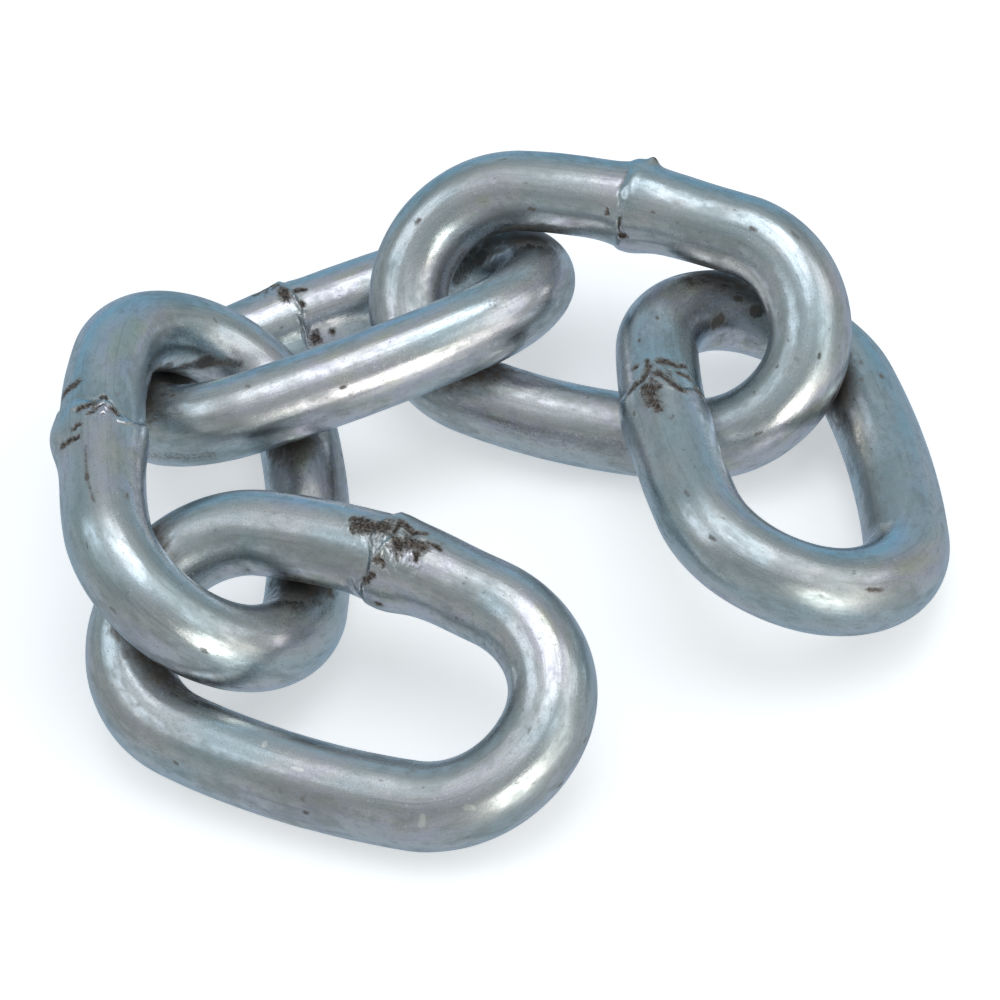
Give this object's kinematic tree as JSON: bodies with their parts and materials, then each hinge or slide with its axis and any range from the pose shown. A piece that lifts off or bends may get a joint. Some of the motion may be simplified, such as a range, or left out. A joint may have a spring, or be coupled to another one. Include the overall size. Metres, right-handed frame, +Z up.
{
  "type": "heap of steel chain",
  "caption": "Short length of round wire welded steel chain lying in a loose heap, its oval links joined end to end and free at both ends.",
  "frame": {"origin": "on the floor that the heap lies on, at the middle of the heap's box", "axes": "+Z up; +X to the right and +Y away for someone facing the front of the heap, where link_1 lies"},
  "size_m": [0.1326, 0.1282, 0.0364],
  "materials": {
    "zinc_plated_steel": "bright zinc electroplate over drawn wire, blue passivated"
  },
  "bodies": {
    "root": {"link_1": "zinc_plated_steel", "link_2": "zinc_plated_steel", "link_3": "zinc_plated_steel", "link_4": "zinc_plated_steel", "link_5": "zinc_plated_steel"}
  },
  "joints": []
}
